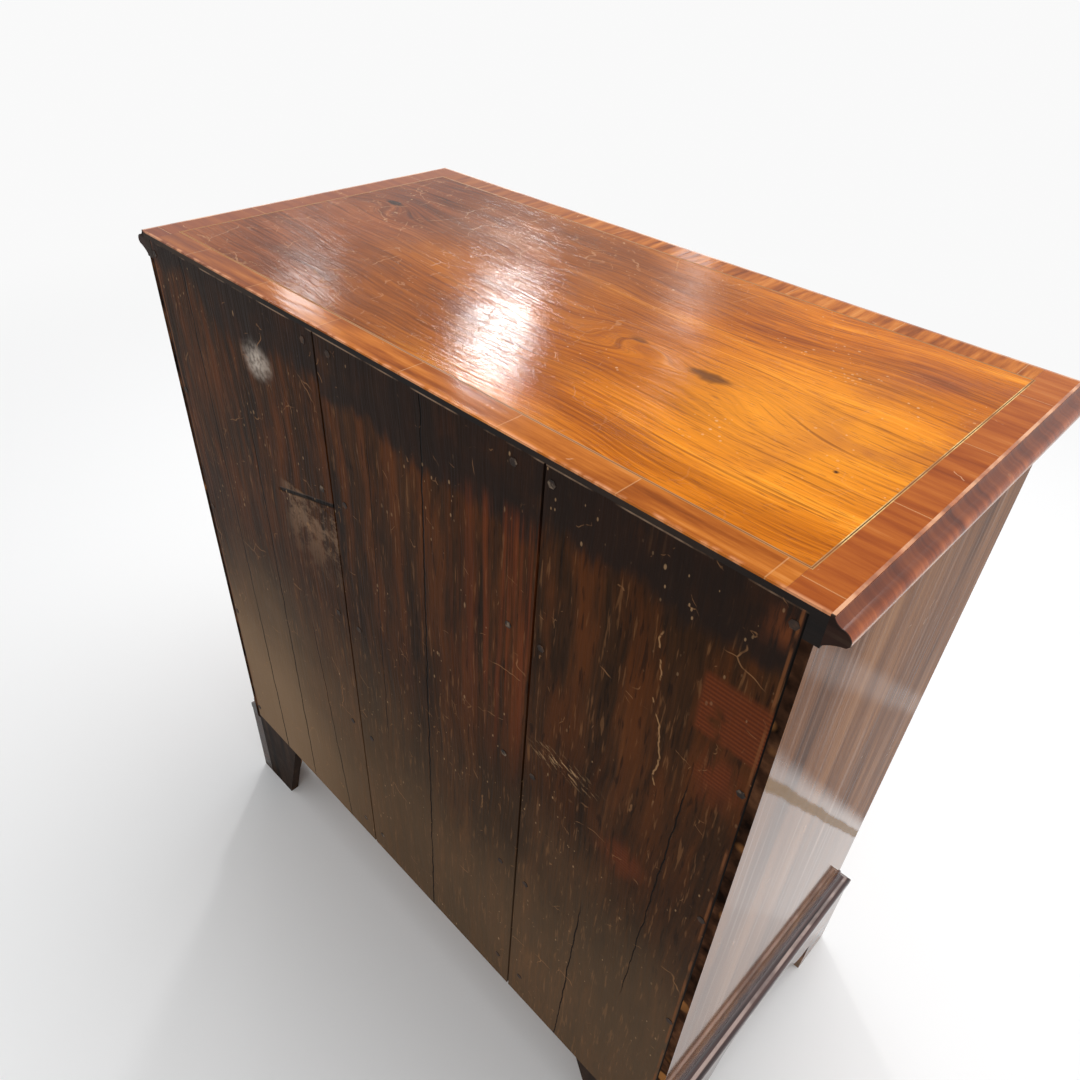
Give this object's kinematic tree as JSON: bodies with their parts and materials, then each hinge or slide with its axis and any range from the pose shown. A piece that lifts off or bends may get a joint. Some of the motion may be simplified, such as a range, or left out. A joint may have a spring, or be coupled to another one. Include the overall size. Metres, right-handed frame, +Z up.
{
  "type": "bachelors chest",
  "caption": "Small shallow chest of graduated long drawers on bracket feet, with a crossbanded, strung and moulded top, hinged brass bail handles and a rough boarded back.",
  "frame": {"origin": "on the floor, under the middle of the whole chest", "axes": "+Z up, -Y the drawers' front, +Y the boarded back, +X the right end seen from the front"},
  "size_m": [0.7262, 0.375, 0.78],
  "materials": {
    "top_veneer": "glossy burr-figured walnut veneer",
    "crossbanding": "polished cross-grain walnut",
    "stringing": "polished light wood",
    "top_substrate": "old pine, dark",
    "top_moulding": "polished cross-grain walnut",
    "case_veneer": "polished walnut veneer",
    "rail_veneer": "polished walnut",
    "carcase_pine": "dry, unpolished pine",
    "base_moulding": "polished walnut, darkened",
    "back_boards": "rough, dark stained pine",
    "bracket_feet": "polished walnut",
    "drawer_veneer": "polished walnut veneer",
    "cock_bead": "polished walnut",
    "drawer_lining": "dry oak",
    "drawer_bottom": "dry oak",
    "brass": "worn, lacquer-free brass",
    "nail_iron": "worn wrought iron"
  },
  "bodies": {
    "case": {"top_board": "top_substrate", "top_crossbanding": "crossbanding", "top_stringing": "stringing", "top_field": "top_veneer", "top_moulding_front": "top_moulding", "top_moulding_left": "top_moulding", "top_moulding_right": "top_moulding", "side_left": "case_veneer", "side_right": "case_veneer", "bottom_board": "carcase_pine", "base_rail": "carcase_pine", "top_rail": "rail_veneer", "drawer_dividers": "rail_veneer", "dust_boards": "carcase_pine", "drawer_stops": "carcase_pine", "base_moulding_front": "base_moulding", "base_moulding_left": "base_moulding", "base_moulding_right": "base_moulding", "back_board_left": "back_boards", "back_board_middle": "back_boards", "back_board_right": "back_boards", "back_nails": "nail_iron", "foot_front_left": "bracket_feet", "foot_rear_left": "bracket_feet", "foot_front_right": "bracket_feet", "foot_rear_right": "bracket_feet", "foot_glue_blocks": "carcase_pine"},
    "drawer_1": {"drawer_1_front": "drawer_veneer", "drawer_1_cock_bead": "cock_bead", "drawer_1_sides": "drawer_lining", "drawer_1_back": "drawer_lining", "drawer_1_bottom": "drawer_bottom", "drawer_1_brasses": "brass"},
    "drawer_1_bail_left": {"drawer_1_bail_left": "brass"},
    "drawer_1_bail_right": {"drawer_1_bail_right": "brass"},
    "drawer_2": {"drawer_2_front": "drawer_veneer", "drawer_2_cock_bead": "cock_bead", "drawer_2_sides": "drawer_lining", "drawer_2_back": "drawer_lining", "drawer_2_bottom": "drawer_bottom", "drawer_2_brasses": "brass"},
    "drawer_2_bail_left": {"drawer_2_bail_left": "brass"},
    "drawer_2_bail_right": {"drawer_2_bail_right": "brass"},
    "drawer_3": {"drawer_3_front": "drawer_veneer", "drawer_3_cock_bead": "cock_bead", "drawer_3_sides": "drawer_lining", "drawer_3_back": "drawer_lining", "drawer_3_bottom": "drawer_bottom", "drawer_3_brasses": "brass"},
    "drawer_3_bail_left": {"drawer_3_bail_left": "brass"},
    "drawer_3_bail_right": {"drawer_3_bail_right": "brass"},
    "drawer_4": {"drawer_4_front": "drawer_veneer", "drawer_4_cock_bead": "cock_bead", "drawer_4_sides": "drawer_lining", "drawer_4_back": "drawer_lining", "drawer_4_bottom": "drawer_bottom", "drawer_4_brasses": "brass"},
    "drawer_4_bail_left": {"drawer_4_bail_left": "brass"},
    "drawer_4_bail_right": {"drawer_4_bail_right": "brass"}
  },
  "joints": [
    {"name": "drawer_1_slide", "type": "slide", "parent": "case", "child": "drawer_1", "axis": [0, -1, 0], "range_m": [0, 0.27]},
    {"name": "drawer_1_bail_left_swing", "type": "hinge", "parent": "drawer_1", "child": "drawer_1_bail_left", "pos_m": [-0.188, -0.1725, 0.6918], "axis": [-1, 0, 0], "range_deg": [0, 85]},
    {"name": "drawer_1_bail_right_swing", "type": "hinge", "parent": "drawer_1", "child": "drawer_1_bail_right", "pos_m": [0.188, -0.1725, 0.6918], "axis": [-1, 0, 0], "range_deg": [0, 85]},
    {"name": "drawer_2_slide", "type": "slide", "parent": "case", "child": "drawer_2", "axis": [0, -1, 0], "range_m": [0, 0.27]},
    {"name": "drawer_2_bail_left_swing", "type": "hinge", "parent": "drawer_2", "child": "drawer_2_bail_left", "pos_m": [-0.188, -0.1725, 0.55455], "axis": [-1, 0, 0], "range_deg": [0, 85]},
    {"name": "drawer_2_bail_right_swing", "type": "hinge", "parent": "drawer_2", "child": "drawer_2_bail_right", "pos_m": [0.188, -0.1725, 0.55455], "axis": [-1, 0, 0], "range_deg": [0, 85]},
    {"name": "drawer_3_slide", "type": "slide", "parent": "case", "child": "drawer_3", "axis": [0, -1, 0], "range_m": [0, 0.27]},
    {"name": "drawer_3_bail_left_swing", "type": "hinge", "parent": "drawer_3", "child": "drawer_3_bail_left", "pos_m": [-0.188, -0.1725, 0.4028], "axis": [-1, 0, 0], "range_deg": [0, 85]},
    {"name": "drawer_3_bail_right_swing", "type": "hinge", "parent": "drawer_3", "child": "drawer_3_bail_right", "pos_m": [0.188, -0.1725, 0.4028], "axis": [-1, 0, 0], "range_deg": [0, 85]},
    {"name": "drawer_4_slide", "type": "slide", "parent": "case", "child": "drawer_4", "axis": [0, -1, 0], "range_m": [0, 0.27]},
    {"name": "drawer_4_bail_left_swing", "type": "hinge", "parent": "drawer_4", "child": "drawer_4_bail_left", "pos_m": [-0.188, -0.1725, 0.23655], "axis": [-1, 0, 0], "range_deg": [0, 85]},
    {"name": "drawer_4_bail_right_swing", "type": "hinge", "parent": "drawer_4", "child": "drawer_4_bail_right", "pos_m": [0.188, -0.1725, 0.23655], "axis": [-1, 0, 0], "range_deg": [0, 85]}
  ]
}
